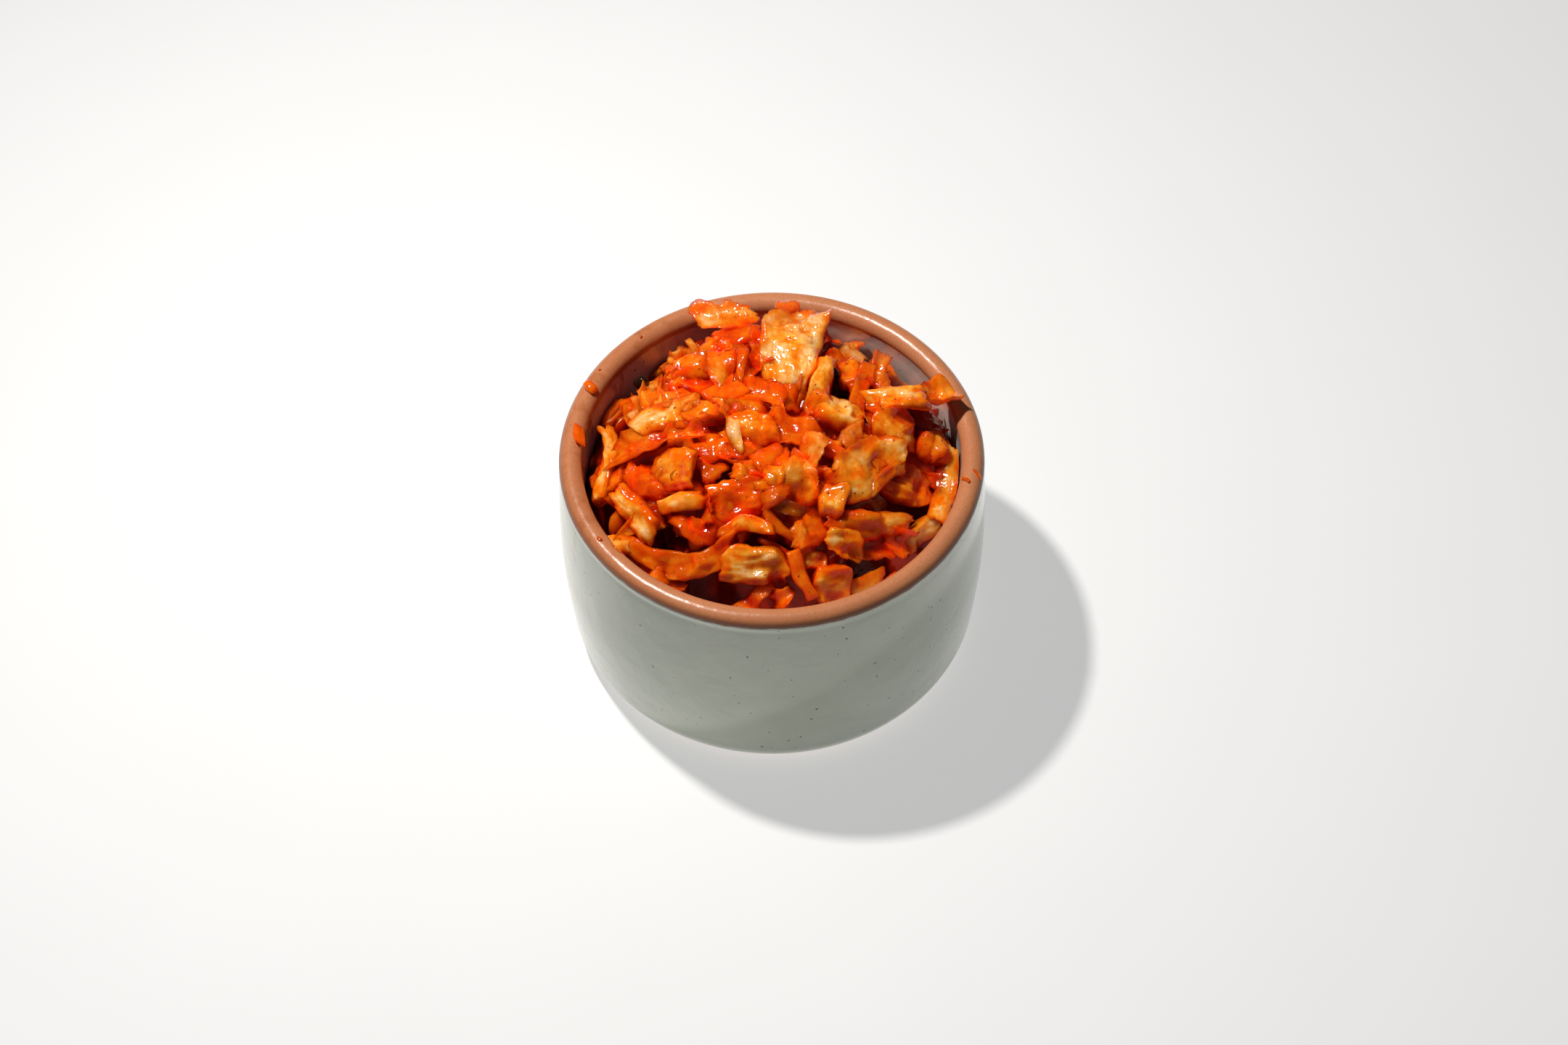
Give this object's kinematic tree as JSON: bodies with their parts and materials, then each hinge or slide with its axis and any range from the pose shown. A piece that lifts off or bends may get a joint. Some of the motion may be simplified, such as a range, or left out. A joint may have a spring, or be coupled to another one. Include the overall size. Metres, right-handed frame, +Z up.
{
  "type": "bowl of kimchi",
  "caption": "Small round stoneware ramekin with a thick rolled rim, heaped with chopped kimchi: cabbage stems, leaves, shreds and carrot.",
  "frame": {"origin": "middle of the bowl's foot, on the surface it stands on", "axes": "+Z up along the bowl's axis, -Y towards the viewer of the front"},
  "size_m": [0.0982, 0.0982, 0.0684],
  "materials": {
    "glazed_stoneware": "satin celadon glaze with small dark specks, bare terracotta-coloured rim",
    "dressed_cabbage": "wet, glossy, translucent orange-red cabbage and carrot with pale stems"
  },
  "bodies": {
    "root": {"bowl": "glazed_stoneware", "kimchi": "dressed_cabbage"}
  },
  "joints": []
}
